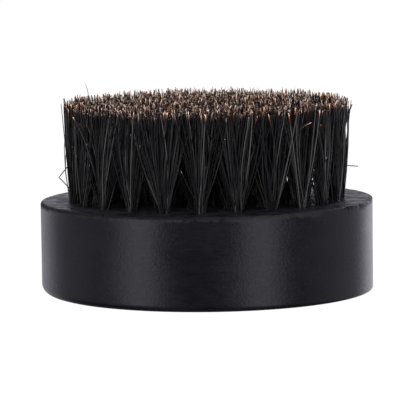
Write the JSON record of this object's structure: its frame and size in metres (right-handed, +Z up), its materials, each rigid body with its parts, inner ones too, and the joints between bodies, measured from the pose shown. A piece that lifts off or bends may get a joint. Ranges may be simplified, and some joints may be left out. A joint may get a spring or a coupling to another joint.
{
  "type": "beard brush",
  "caption": "Round palm beard brush: a turned wooden disc held in the hand, with stiff bristle tufts standing in concentric rings on its flat face.",
  "frame": {"origin": "centre of the flat back, where the brush stands on a table", "axes": "+Z up, from the flat back to the bristle tips; the outer ring has a tuft on -Y, the front"},
  "size_m": [0.056, 0.056, 0.0322],
  "materials": {
    "lacquered_wood": "black stain under satin lacquer",
    "boar_bristle": "natural black boar bristle with pale split tips",
    "anchor_wire": "drawn flat wire"
  },
  "bodies": {
    "root": {"anchors_ring2": "anchor_wire", "anchors_ring3": "anchor_wire", "anchors_ring4": "anchor_wire", "base": "lacquered_wood", "inner_anchors": "anchor_wire", "inner_tufts": "boar_bristle", "tuft_ring2_01": "boar_bristle", "tuft_ring2_02": "boar_bristle", "tuft_ring2_03": "boar_bristle", "tuft_ring2_04": "boar_bristle", "tuft_ring2_05": "boar_bristle", "tuft_ring2_06": "boar_bristle", "tuft_ring2_07": "boar_bristle", "tuft_ring2_08": "boar_bristle", "tuft_ring2_09": "boar_bristle", "tuft_ring2_10": "boar_bristle", "tuft_ring2_11": "boar_bristle", "tuft_ring2_12": "boar_bristle", "tuft_ring3_01": "boar_bristle", "tuft_ring3_02": "boar_bristle", "tuft_ring3_03": "boar_bristle", "tuft_ring3_04": "boar_bristle", "tuft_ring3_05": "boar_bristle", "tuft_ring3_06": "boar_bristle", "tuft_ring3_07": "boar_bristle", "tuft_ring3_08": "boar_bristle", "tuft_ring3_09": "boar_bristle", "tuft_ring3_10": "boar_bristle", "tuft_ring3_11": "boar_bristle", "tuft_ring3_12": "boar_bristle", "tuft_ring3_13": "boar_bristle", "tuft_ring3_14": "boar_bristle", "tuft_ring3_15": "boar_bristle", "tuft_ring3_16": "boar_bristle", "tuft_ring3_17": "boar_bristle", "tuft_ring3_18": "boar_bristle", "tuft_ring4_01": "boar_bristle", "tuft_ring4_02": "boar_bristle", "tuft_ring4_03": "boar_bristle", "tuft_ring4_04": "boar_bristle", "tuft_ring4_05": "boar_bristle", "tuft_ring4_06": "boar_bristle", "tuft_ring4_07": "boar_bristle", "tuft_ring4_08": "boar_bristle", "tuft_ring4_09": "boar_bristle", "tuft_ring4_10": "boar_bristle", "tuft_ring4_11": "boar_bristle", "tuft_ring4_12": "boar_bristle", "tuft_ring4_13": "boar_bristle", "tuft_ring4_14": "boar_bristle", "tuft_ring4_15": "boar_bristle", "tuft_ring4_16": "boar_bristle", "tuft_ring4_17": "boar_bristle", "tuft_ring4_18": "boar_bristle", "tuft_ring4_19": "boar_bristle", "tuft_ring4_20": "boar_bristle", "tuft_ring4_21": "boar_bristle", "tuft_ring4_22": "boar_bristle", "tuft_ring4_23": "boar_bristle", "tuft_ring4_24": "boar_bristle"}
  },
  "joints": []
}
